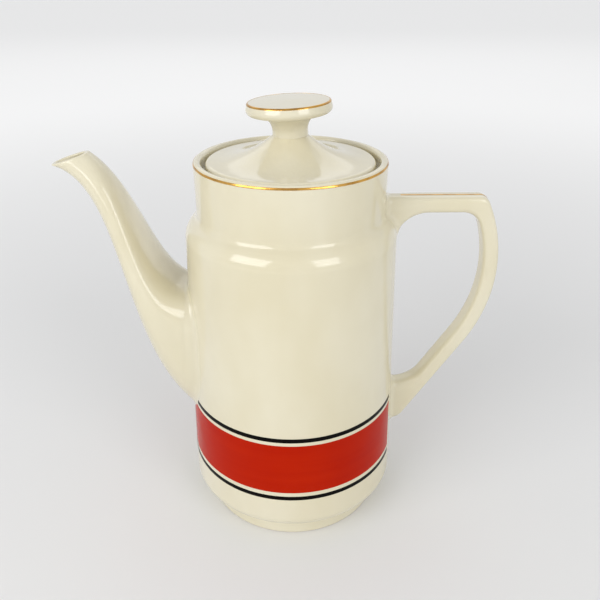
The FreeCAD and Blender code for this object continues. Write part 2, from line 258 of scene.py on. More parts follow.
def sheet(rows: Sequence[Row], closed: bool = True) -> Mesh:
    """Lays a grid through rows of points.

    Args:
        rows: The rows, each with as many points.
        closed: Whether each row closes on itself.

    Returns:
        The skin through the rows.
    """
    columns = len(rows[0]) if closed else len(rows[0]) - 1
    mesh = bmesh.new()
    bmesh.ops.create_grid(mesh, x_segments=columns, y_segments=len(rows) - 1, size=1.0)
    for vert in mesh.verts:
        column = round((vert.co.x + 1) / 2 * columns)
        row = round((vert.co.y + 1) / 2 * (len(rows) - 1))
        vert.co = rows[row][column % len(rows[0])]
    return mesh


def crosswise(rows: Sequence[Row]) -> list[Row]:
    """The columns of a grid of rows."""
    return [list(column) for column in zip(*rows)]


def mesh_data(mesh: Mesh, name: str) -> bpy.types.Mesh:
    """Keeps a mesh as it is.

    Args:
        mesh: The mesh, which is freed.
        name: The name to keep it under.

    Returns:
        The kept mesh.
    """
    data = bpy.data.meshes.new(name)
    mesh.to_mesh(data)
    mesh.free()
    return data


def placed(name: str, data: bpy.types.ID) -> bpy.types.Object:
    """Puts a mesh, a lamp or a camera into the scene.

    Args:
        name: The object's name.
        data: What it holds.

    Returns:
        The object, at the origin.
    """
    thing = bpy.data.objects.new(name, data)
    bpy.context.scene.collection.objects.link(thing)
    return thing


def finished(mesh: Mesh, name: str) -> bpy.types.Object:
    """Closes a mesh, turns its faces outwards and makes it an object in metres.

    Args:
        mesh: The mesh in millimetres, which is freed.
        name: The piece's name.

    Returns:
        The piece, at the origin.
    """
    bmesh.ops.remove_doubles(mesh, verts=mesh.verts, dist=MERGE)
    bmesh.ops.dissolve_degenerate(mesh, edges=mesh.edges, dist=MERGE)
    bmesh.ops.recalc_face_normals(mesh, faces=mesh.faces)
    bmesh.ops.scale(mesh, vec=(MM, MM, MM), verts=mesh.verts)
    data = mesh_data(mesh, name)
    data.shade_smooth()
    data.set_sharp_from_angle(angle=SHARP_ANGLE)
    return placed(name, data)


class NodeTree:
    """Lays out shader nodes."""

    def __init__(self, tree: bpy.types.NodeTree) -> None:
        """Takes the tree that the nodes go into."""
        self.tree = tree

    def link(self, value: object, socket: Socket) -> None:
        """Sets an input to a value, or links it to another node's output.

        Args:
            value: The value, or the output.
            socket: The input.
        """
        if isinstance(value, Socket):
            self.tree.links.new(value, socket)
        else:
            socket.default_value = value

    def fill(self, node: bpy.types.Node, **inputs: object) -> bpy.types.Node:
        """Sets or links a node's inputs.

        Args:
            node: The node.
            **inputs: Values or sockets for its inputs, with spaces written as underscores.

        Returns:
            The same node.
        """
        for name, value in inputs.items():
            self.link(value, node.inputs[name.replace("_", " ")])
        return node

    def add(self, kind: str, **inputs: object) -> bpy.types.Node:
        """Adds a node of a kind and fills its inputs."""
        return self.fill(self.tree.nodes.new(kind), **inputs)

    def spread(self, value: Value, source: Pair, target: Pair = UNIT, smooth: bool = False) -> Socket:
        """Maps a range of values to another.

        Args:
            value: The value.
            source: Where its range starts and ends.
            target: What the start and the end become.
            smooth: Whether the ends are soft.

        Returns:
            The socket with the result.
        """
        ends = zip(("From_Min", "From_Max", "To_Min", "To_Max"), (*source, *target))
        node = self.add("ShaderNodeMapRange", Value=value, **dict(ends))
        node.interpolation_type = "SMOOTHSTEP" if smooth else "LINEAR"
        return node.outputs[0]

    def maths(self, operation: str, first: Value, last: Value) -> Socket:
        """Adds a sum or a comparison.

        Args:
            operation: What it works out.
            first: The first value.
            last: The second value.

        Returns:
            The socket with the result.
        """
        node = self.tree.nodes.new("ShaderNodeMath")
        node.operation = operation
        for socket, value in zip(node.inputs, (first, last)):
            self.link(value, socket)
        return node.outputs[0]

    def seen(self) -> Socket:
        """Tells rays that look from rays that light.

        Returns:
            One for rays from the camera, in reflections or through glass, and nought for light.
        """
        rays = self.add("ShaderNodeLightPath").outputs
        seen = self.maths("ADD", rays["Is Camera Ray"], rays["Is Glossy Ray"])
        return self.maths("ADD", seen, rays["Is Transmission Ray"])


class Nodes(NodeTree):
    """Lays out one material's nodes."""

    def __init__(self, name: str) -> None:
        """Starts an empty material with its output and its surface shader.

        Args:
            name: The material's name.
        """
        self.material = bpy.data.materials.new(name)
        self.material.use_nodes = True
        super().__init__(self.material.node_tree)
        self.tree.nodes.clear()
        self.surface = self.add("ShaderNodeBsdfPrincipled")
        output = self.add("ShaderNodeOutputMaterial")
        self.tree.links.new(self.surface.outputs[0], output.inputs[0])
        self.place = self.add("ShaderNodeTexCoord").outputs["Object"]

    def set(self, **inputs: object) -> None:
        """Sets or links the surface shader's own inputs."""
        self.fill(self.surface, **inputs)

    def noise(self, grain: Grain) -> Socket:
        """Adds a noise pattern.

        Args:
            grain: The pattern.

        Returns:
            The socket with its value.
        """
        place = self.add("ShaderNodeMapping", Vector=self.place, Scale=grain.stretch).outputs[0]
        node = self.add("ShaderNodeTexNoise", Vector=place, Scale=grain.scale, Detail=grain.detail)
        return node.outputs[0]

    def blend(self, share: Value, first: Colour | Value, last: Colour | Value) -> Socket:
        """Mixes two colours.

        Args:
            share: How much of the last colour there is.
            first: The first colour, or the socket that gives it.
            last: The last colour, or the socket that gives it.

        Returns:
            The socket with the mixed colour.
        """
        node = self.tree.nodes.new("ShaderNodeMix")
        node.data_type = "RGBA"
        self.link(share, node.inputs["Factor"])
        colours = [socket for socket in node.inputs if socket.type == "RGBA"]
        for socket, value in zip(colours, (first, last)):
            self.link((*value, 1.0) if isinstance(value, tuple) else value, socket)
        return next(socket for socket in node.outputs if socket.type == "RGBA")

    def bump(self, relief: Relief, below: Socket | None = None) -> Socket:
        """Adds a bump.

        Args:
            relief: The bump.
            below: The bump that it lies over, if any.

        Returns:
            The socket with the bumped direction.
        """
        pattern = self.noise(relief.grain)
        node = self.add("ShaderNodeBump", Height=pattern, Distance=relief.height, Strength=1.0)
        if below is not None:
            self.tree.links.new(below, node.inputs["Normal"])
        return node.outputs[0]


@dataclass(frozen=True)
class CreamGlaze:
    """Glossy cream glaze that pools a little, with a bare ring under the foot."""

    pale: Colour = (0.75, 0.7, 0.535)
    deep: Colour = (0.7, 0.64, 0.455)
    clay: Colour = (0.62, 0.54, 0.42)
    pools: Grain = Grain(scale=26.0, detail=3.0, stretch=(1, 1, 0.5))
    pooling: Pair = (0.35, 0.68)
    skin: Relief = Relief(Grain(scale=700.0), height=0.000012)
    roughness: float = 0.11
    bare_roughness: float = 0.75
    bare_height: float = 0.0007
    ior: float = 1.5
    coat: float = 0.4
    coat_roughness: float = 0.04

    def make(self) -> bpy.types.Material:
        """Builds the finish.

        Returns:
            The material.
        """
        nodes = Nodes(Slot.GLAZE.value)
        pooled = nodes.spread(nodes.noise(self.pools), self.pooling)
        colour = nodes.blend(pooled, self.pale, self.deep)
        height = nodes.add("ShaderNodeSeparateXYZ", Vector=nodes.place).outputs["Z"]
        bare = nodes.maths("LESS_THAN", height, self.bare_height)
        nodes.set(
            Base_Color=nodes.blend(bare, colour, self.clay),
            Roughness=nodes.spread(bare, UNIT, (self.roughness, self.bare_roughness)),
            Normal=nodes.bump(self.skin, nodes.bump(RIPPLE)),
            IOR=self.ior,
            Coat_Weight=self.coat,
            Coat_Roughness=self.coat_roughness,
        )
        return nodes.material


@dataclass(frozen=True)
class Enamel:
    """Even enamel laid on as the pot turns, a very little thinner in places."""

    slot: Slot
    thick: Colour
    thin: Colour
    strokes: Grain = Grain(scale=9.0, detail=3.0, stretch=(1, 1, 30))
    patches: Grain = Grain(scale=34.0)
    thinning: Pair = (0.7, 1.35)
    stroke_range: Pair = (0.3, 0.7)
    roughness: Pair = (0.16, 0.22)
    shine: float = 0.05

    def make(self) -> bpy.types.Material:
        """Builds the finish.

        Returns:
            The material.
        """
        nodes = Nodes(self.slot.value)
        strokes = nodes.noise(self.strokes)
        laid = nodes.maths("ADD", strokes, nodes.noise(self.patches))
        nodes.set(
            Base_Color=nodes.blend(nodes.spread(laid, self.thinning), self.thick, self.thin),
            Roughness=nodes.spread(strokes, self.stroke_range, self.roughness),
            Normal=nodes.bump(RIPPLE),
            Specular_IOR_Level=self.shine,
        )
        return nodes.material


@dataclass(frozen=True)
class Gilding:
    """Thin burnished gold, darkened and mottled to a browner tone in places, partly rubbed wear and partly
    painted dark reflection.
    """

    # Both tones are darker than bare gold; the dark brown stands partly for rubbed wear and partly for
    # painted dark reflection of the room
    bright: Colour = (0.66, 0.38, 0.09)
    rubbed_and_dark_reflection: Colour = (0.34, 0.17, 0.04)
    wear_and_reflection: Grain = Grain(scale=140.0, detail=4.0)
    wear_and_reflection_range: Pair = (0.42, 0.72)
    roughness: Pair = (0.14, 0.34)
    brushing: Relief = Relief(Grain(scale=900.0), height=0.00002)

    def make(self) -> bpy.types.Material:
        """Builds the finish.

        Returns:
            The material.
        """
        nodes = Nodes(Slot.GOLD.value)
        # Noise mixes the gold towards dark brown: painted dark reflection together with rubbed wear
        rub_and_reflection_share = nodes.spread(nodes.noise(self.wear_and_reflection), self.wear_and_reflection_range)
        nodes.set(
            Base_Color=nodes.blend(rub_and_reflection_share, self.bright, self.rubbed_and_dark_reflection),
            Metallic=1.0,
            Roughness=nodes.spread(rub_and_reflection_share, UNIT, self.roughness),
            Normal=nodes.bump(self.brushing),
        )
        return nodes.material


class Finishes:
    """The four finishes, each made once."""

    def __init__(self) -> None:
        """Makes the materials."""
        red = Enamel(Slot.RED, thick=(0.43, 0.011, 0.0004), thin=(0.47, 0.015, 0.0006))
        black = Enamel(Slot.BLACK, thick=(0.002, 0.0018, 0.0016), thin=(0.004, 0.0034, 0.003))
        self.materials = {
            Slot.GLAZE: CreamGlaze().make(),
            Slot.RED: red.make(),
            Slot.BLACK: black.make(),
            Slot.GOLD: Gilding().make(),
        }

    def dress(self, piece: bpy.types.Object, node: str, body: Body, slot: Slot) -> None:
        """Gives a piece its finish and its body, and hides the node that it stands for.

        Args:
            piece: The piece.
            node: The node that it replaces.
            body: The body that it moves with.
            slot: The finish that it takes.
        """
        piece.data.materials.append(self.materials[slot])
        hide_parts(node)
        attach(piece, body.value)
        LOG.info("%s stands for %s, %d faces", piece.name, node, len(piece.data.polygons))


@dataclass
class PotBody:
    """The turned pot with its foot ring, shoulder, neck, rim and lid ledge."""

    foot_radius: float = 48.4
    foot_height: float = 11.5
    foot_ring_width: float = 5.5
    foot_rounding: float = 1.2
    foot_recess: float = 4.0
    floor: float = 5.0
    base_rounding: float = 7.0
    wall_low: float = 56.7
    wall_high: float = 52.3
    wall_height: float = 151.7
    wall: float = 4.0
    inner_rounding: float = 6.0
    shoulder_rounding: float = 11.0
    shoulder_slope: float = 38.0
    neck_radius: float = 46.2
    neck_height: float = 32.2
    neck_fillet: float = 4.5
    rim_wall: float = 3.8
    rim_flat: float = 0.02
    ledge_depth: float = 6.2
    ledge_width: float = 4.6
    ledge_thickness: float = 4.0
    ledge_rounding: float = 1.0
    hole_width: float = 20.0
    hole_height: float = 36.0
    hole_middle: float = 88.0
    hole_inside: float = 8.0
    hole_outside: float = 4.0
    hole_steps: int = 48
    outside: Row = field(default_factory=list)

    def __post_init__(self) -> None:
        """Works out the heights that other pieces use, and the outside that they are joined to."""
        self.shoulder_z = self.foot_height + self.wall_height
        self.rim_z = self.shoulder_z + self.neck_height
        self.ledge_z = self.rim_z - self.ledge_depth
        self.rim_inner = self.neck_radius - self.rim_wall
        self.ledge_radius = self.rim_inner - self.ledge_width
        self.lip_rounding = (self.rim_wall - self.rim_flat) / 2
        self.outside = outline(self.outer_corners() + [Corner(self.neck_radius, self.rim_z)])

    def wall_radius(self, z: float) -> float:
        """Outer radius of the tapered wall at a height."""
        return mix(self.wall_low, self.wall_high, (z - self.foot_height) / self.wall_height)

    def outer_corners(self) -> list[Corner]:
        """Lists the corners of the outside.

        Returns:
            The corners, from the foot to the neck.
        """
        neck_z = self.shoulder_z + rise(self.wall_high - self.neck_radius, self.shoulder_slope)
        return [
            Corner(self.foot_radius, 0, self.foot_rounding),
            Corner(self.foot_radius, self.foot_height),
            Corner(self.wall_low, self.foot_height, self.base_rounding),
            Corner(self.wall_high, self.shoulder_z, self.shoulder_rounding),
            Corner(self.neck_radius, neck_z, self.neck_fillet),
        ]

    def corners(self) -> list[Corner]:
        """Lists the corners of the whole side view.

        Returns:
            The corners, from the middle of the foot to the middle of the floor inside.
        """
        floor_z = self.foot_recess + self.floor
        foot_inner = self.foot_radius - self.foot_ring_width
        inner_shoulder = self.shoulder_z - rise(self.wall, self.shoulder_slope)
        neck_z = inner_shoulder + rise(self.wall_high - self.neck_radius, self.shoulder_slope)
        ledge_under = self.ledge_z - self.ledge_thickness
        return [
            Corner(0, self.foot_recess),
            Corner(foot_inner, self.foot_recess, self.foot_rounding),
            Corner(foot_inner, 0, self.foot_rounding),
            *self.outer_corners(),
            Corner(self.neck_radius, self.rim_z, self.lip_rounding),
            Corner(self.rim_inner, self.rim_z, self.lip_rounding),
            Corner(self.rim_inner, self.ledge_z),
            Corner(self.ledge_radius, self.ledge_z, self.ledge_rounding),
            Corner(self.ledge_radius, ledge_under, self.ledge_rounding),
            Corner(self.rim_inner, ledge_under - self.ledge_width),
            Corner(self.rim_inner, neck_z),
            Corner(self.wall_high - self.wall, inner_shoulder, self.shoulder_rounding - self.wall),
            Corner(self.wall_radius(floor_z) - self.wall, floor_z, self.inner_rounding),
            Corner(0, floor_z),
        ]

    def clearance(self, point: Vector) -> tuple[float, Vector]:
        """Measures how far a point stands off the outside.

        Args:
            point: The point.

        Returns:
            The distance, negative inside, and the direction straight away from the pot.
        """
        radius = math.hypot(point.x, point.y)
        flat = side(radius, point.z)
        best = None
        for first, last in zip(self.outside, self.outside[1:]):
            run = last - first
            share = min(1.0, max(0.0, (flat - first).dot(run) / run.length_squared))
            spot = first + run * share
            distance = (flat - spot).length
            if best is None or distance < best[0]:
                best = (distance, side(run.z, -run.x).normalized(), spot)
        distance, normal, spot = best
        sign = 1.0 if (flat - spot).dot(normal) >= 0 else -1.0
        away = Vector((normal.x * point.x / radius, normal.x * point.y / radius, normal.z))
        return sign * distance, away

    def hole_cutter(self) -> bpy.types.Object:
        """Makes a round-ended bar that cuts the hole behind the spout.

        Returns:
            The bar, through the wall.
        """
        half = self.hole_width / 2
        straight = (self.hole_height - self.hole_width) / 2
        mesh = bmesh.new()
        ring = bmesh.ops.create_circle(mesh, cap_ends=True, segments=self.hole_steps, radius=half)
        for vert in ring["verts"]:
            vert.co.y += math.copysign(straight, vert.co.y)
        pushed = bmesh.ops.extrude_face_region(mesh, geom=list(mesh.faces))
        moved = [item for item in pushed["geom"] if isinstance(item, bmesh.types.BMVert)]
        bmesh.ops.translate(mesh, vec=(0, 0, self.hole_inside + self.hole_outside), verts=moved)
        turn = Matrix(((0, 0, -1), (1, 0, 0), (0, 1, 0)))
        bmesh.ops.rotate(mesh, cent=ORIGIN, matrix=turn, verts=mesh.verts)
        start = self.hole_inside - self.wall_radius(self.hole_middle)
        bmesh.ops.translate(mesh, vec=(start, 0, self.hole_middle), verts=mesh.verts)
        return finished(mesh, "hole_cutter")

    def build(self, finishes: Finishes) -> None:
        """Makes the pot and dresses it.

        Args:
            finishes: The finishes.
        """
        piece = finished(spun(outline(self.corners())), "turned_pot")
        carve(piece, self.hole_cutter())
        finishes.dress(piece, "pot_body", Body.POT, Slot.GLAZE)


def carve(piece: bpy.types.Object, cutter: bpy.types.Object) -> None:
    """Cuts one mesh out of another for good, and removes the cutter.

    Args:
        piece: The piece to cut.
        cutter: What is taken out of it.
    """
    modifier = piece.modifiers.new("carve", "BOOLEAN")
    modifier.operation = "DIFFERENCE"
    modifier.solver = "EXACT"
    modifier.object = cutter
    scene_state = bpy.context.evaluated_depsgraph_get()
    whole = piece.data
    piece.data = bpy.data.meshes.new_from_object(piece.evaluated_get(scene_state))
    piece.modifiers.clear()
    bpy.data.meshes.remove(whole)
    bpy.data.objects.remove(cutter)


@dataclass
class LutedSkin:
    """A skin of lines that run out of the pot, smoothed into it by a fillet of slip.

    Each line starts inside the pot. Lines may come back to the pot at their other end.
    """

    body: PotBody
    lines: list[Row]
    fillet: float
    far_fillet: float | None = None
    levels: tuple[float, ...] = (0.0, 0.02, 0.07, 0.16, 0.28, 0.44, 0.62, 0.81, 1.0)
    buried: float = 0.6
    settling: int = 2

    def __post_init__(self) -> None:
        """Measures how far each point of each line stands off the pot."""
        self.distances = [[self.body.clearance(point)[0] for point in line] for line in self.lines]

    def normal(self, line: int, step: int) -> Vector:
        """Works out the direction out of the skin.

        Args:
            line: The line.
            step: The step along it.

        Returns:
            The direction there.
        """
        count = len(self.lines)
        here = self.lines[line]
        ahead = here[min(step + 1, len(here) - 1)] - here[max(step - 1, 0)]
        beside = self.lines[(line + 1) % count][step] - self.lines[line - 1][step]
        out = beside.cross(ahead)
        middle = (here[step] + self.lines[(line + count // 2) % count][step]) / 2
        return out.normalized() if out.dot(here[step] - middle) > 0 else -out.normalized()

    def crossing(self, line: int, level: float, far: bool) -> float:
        """Finds where a line first stands a distance off the pot.

        Args:
            line: The line.
            level: The distance.
            far: Whether to come from the line's other end.

        Returns:
            The place along the line, in steps.
        """
        distances = self.distances[line][::-1] if far else self.distances[line]
        place = 0.0
        for step, (low, high) in enumerate(zip(distances, distances[1:])):
            if low <= level < high:
                place = step + (level - low) / (high - low)
                break
        return len(distances) - 1 - place if far else place

    def spot(self, line: int, place: float) -> Vector:
        """Finds a point of a line.

        Args:
            line: The line.
            place: The place along it, in steps.

        Returns:
            The point.
        """
        points = self.lines[line]
        step = min(int(place), len(points) - 2)
        return points[step].lerp(points[step + 1], place - step)

    def fillet_row(self, share: float, far: bool) -> Row:
        """One row of the fillet.

        Args:
            share: The row's height over the pot, as a share of the fillet's radius.
            far: Whether it is at the lines' other end.

        Returns:
            The row's points.
        """
        radius = self.far_fillet if far else self.fillet
        level = share * radius
        spread = radius * (1 - math.sqrt(max(0.0, 1 - (1 - share) ** 2)))
        row = []
        for line, points in enumerate(self.lines):
            place = self.crossing(line, level, far)
            point = self.spot(line, place)
            _, away = self.body.clearance(point)
            out = self.normal(line, min(round(place), len(points) - 1))
            along = out - away * out.dot(away)
            point = point + along.normalized() * spread
            for _ in range(self.settling):
                distance, away = self.body.clearance(point)
                point = point + away * (level - distance)
            row.append(point)
        return row

    def buried_row(self, row: Row) -> Row:
        """A row just inside the pot, under the fillet's first row."""
        return [point - self.body.clearance(point)[1] * self.buried for point in row]

    def rows(self, count: int) -> list[Row]:
        """Lays the rows of the whole skin.

        Args:
            count: How many steps there are between the fillets, or from the fillet to the end.

        Returns:
            The rows, from the lines' start to their end.
        """
        near = [self.fillet_row(share, False) for share in self.levels]
        rows = [self.buried_row(near[0])] + near
        numbers = range(len(self.lines))
        starts = [self.crossing(line, self.fillet, False) for line in numbers]
        ends = [float(len(points) - 1) for points in self.lines]
        far: list[Row] = []
        if self.far_fillet:
            far = [self.fillet_row(share, True) for share in reversed(self.levels)]
            far.append(self.buried_row(far[-1]))
            ends = [self.crossing(line, self.far_fillet, True) for line in numbers]
        for step in range(1, count if far else count + 1):
            places = [mix(start, end, step / count) for start, end in zip(starts, ends)]
            rows.append([self.spot(line, place) for line, place in enumerate(places)])
        return rows + far


def even_loop(points: Sequence[Vector], count: int) -> Row:
    """Spaces points evenly round a closed loop.

    Args:
        points: The loop.
        count: How many points to place.

    Returns:
        The evenly spaced points, starting where the loop does.
    """
    closed = [*points, points[0]]
    lengths = [(b - a).length for a, b in zip(closed, closed[1:])]
    step = sum(lengths) / count
    row = []
    walked = 0.0
    piece = 0
    for i in range(count):
        while walked + lengths[piece] < i * step and piece < len(lengths) - 1:
            walked += lengths[piece]
            piece += 1
        share = (i * step - walked) / lengths[piece] if lengths[piece] else 0.0
        row.append(closed[piece].lerp(closed[piece + 1], min(1.0, max(0.0, share))))
    return row


def cubic(values: Sequence[Number], share: float) -> Number:
    """Works out a point, or a plain number, on a cubic curve.

    Args:
        values: The start, the two values that draw the curve, and the end.
        share: The place along it.

    Returns:
        The value there.
    """
    back = 1 - share
    weights = (back**3, 3 * back**2 * share, 3 * back * share**2, share**3)
    first, *others = (value * weight for value, weight in zip(values, weights))
    return sum(others, first)


def soft_square(count: int, top: float, bottom: float) -> list[Pair]:
    """Draws a loop between a circle and a square, which reaches 1 each way.

    Args:
        count: How many points it has.
        top: How square its upper half is, where 2 is a circle.
        bottom: How square its lower half is.

    Returns:
        How far up and how far out each point lies, starting at the top.
    """
    loop = []
    for i in range(count):
        angle = 2 * math.pi * i / count
        up, out = math.cos(angle), math.sin(angle)
        power = 2 / (top if up > 0 else bottom)
        loop.append((math.copysign(abs(up) ** power, up), math.copysign(abs(out) ** power, out)))
    return loop


@dataclass
class Spout:
    """The hollow swan-neck spout: squarer along its top, which makes the soft ridge on its shoulder."""

    body: PotBody
    root_low: float = 59.5
    root_high: float = 129.9
    lower_belly: Pair = (33.9, 100.6)
    lower_throat: Pair = (24.0, 184.4)
    lip: Pair = (58.0, 192.4)
    upper_belly: Pair = (19.4, 132.9)
    upper_throat: Pair = (19.0, 181.8)
    heel: Pair = (39.6, 198.2)
    depths: tuple[float, float, float, float] = (50.0, 64.0, 21.6, 13.0)
    root_wall: float = 4.0
    mouth_wall: float = 2.2
    root_squareness: float = 4.0
    mouth_squareness: float = 2.4
    keel_squareness: float = 2.0
    root_lag: float = 1.8
    sink: float = 12.0
    fillet: float = 2.2
    around: int = 96
    samples: int = 288
    stations: int = 110
    sink_stations: int = 14
    lip_start: float = 0.997
    lip_steps: int = 8
    lip_height: float = 0.7
    rows: int = 64

    def lag(self, share: float) -> float:
        """The upper edge's share of its length, which lags near the root so that sections stand square."""
        return share ** mix(self.root_lag, 1.0, share)

    def curve(self, root: float, *spots: Pair) -> Row:
        """The points that give one edge of the side view, the first of them its root on the wall."""
        start = self.body.wall_radius(self.root_low)
        return [side(-self.body.wall_radius(root), root)] + [side(-(start + x), z) for x, z in spots]

    def edges(self, share: float, sink: float) -> tuple[Vector, Vector]:
        """Finds where a section meets the side view.

        Args:
            share: The place along the spout.
            sink: How far the edges are carried straight on into the pot.

        Returns:
            The lower and the upper point.
        """
        lower = self.curve(self.root_low, self.lower_belly, self.lower_throat, self.lip)
        upper = self.curve(self.root_high, self.upper_belly, self.upper_throat, self.heel)
        return (
            cubic(lower, share) + (lower[0] - lower[1]).normalized() * sink,
            cubic(upper, self.lag(share)) + (upper[0] - upper[1]).normalized() * sink,
        )

    def section(self, share: float, sink: float, inset: float) -> Row:
        """A closed row round the spout.

        Args:
            share: The place along the spout.
            sink: How far inside the pot it lies.
            inset: How far it is drawn in.

        Returns:
            The row, starting on the upper edge.
        """
        lower, upper = self.edges(share, sink)
        low_depth = cubic(self.depths, share)
        high_depth = cubic(self.depths, self.lag(share))
        half_length = (upper - lower).length / 2 - inset
        along = (upper - lower).normalized()
        middle = (lower + upper) / 2
        squareness = mix(self.root_squareness, self.mouth_squareness, share)
        points = []
        for up, out in soft_square(self.samples, squareness, self.keel_squareness):
            half_depth = mix(low_depth, high_depth, (1 + up) / 2) / 2 - inset
            points.append(middle + along * (half_length * up) + side(0, 0, half_depth * out))
        return even_loop(points, self.around)

    def lines(self, hollow: bool) -> list[Row]:
        """Draws lines along the spout.

        Args:
            hollow: Whether they lie on the bore, and not on the outside.

        Returns:
            The lines, from inside the pot to the mouth.
        """
        places = [(0.0, self.sink * (1 - share)) for share in shares(self.sink_stations)]
        places += [(self.lip_start * i / self.stations, 0.0) for i in range(self.stations + 1)]
        sections = []
        for share, sink in places:
            inset = mix(self.root_wall, self.mouth_wall, share) if hollow else 0.0
            sections.append(self.section(share, sink, inset))
        return crosswise(sections)

    def lip_rows(self, outer: Row, inner: Row) -> list[Row]:
        """Rounds the lip over.

        Args:
            outer: The last row of the outside.
            inner: The last row of the bore.

        Returns:
            The rows between them.
        """
        heel, lip = outer[0], outer[self.around // 2]
        out = (heel - lip).cross(Vector((0, 1, 0))).normalized()
        out = out if out.z > 0 else -out
        rows = []
        for i in range(1, self.lip_steps):
            angle = math.pi * i / self.lip_steps
            lift = out * (self.lip_height * math.sin(angle))
            rows.append([(a + b) / 2 + (a - b) / 2 * math.cos(angle) + lift for a, b in zip(outer, inner)])
        return rows

    def build(self, finishes: Finishes) -> None:
        """Makes the spout and dresses it.

        Args:
            finishes: The finishes.
        """
        outside = LutedSkin(self.body, self.lines(False), self.fillet).rows(self.rows)
        bore = crosswise(self.lines(True))
        bore = [row for row in bore if max(self.body.clearance(point)[0] for point in row) > 0]
        mesh = sheet(outside + self.lip_rows(outside[-1], bore[-1]) + bore[::-1] + [outside[0]])
        finishes.dress(finished(mesh, "swan_neck_spout"), "spout", Body.POT, Slot.GLAZE)


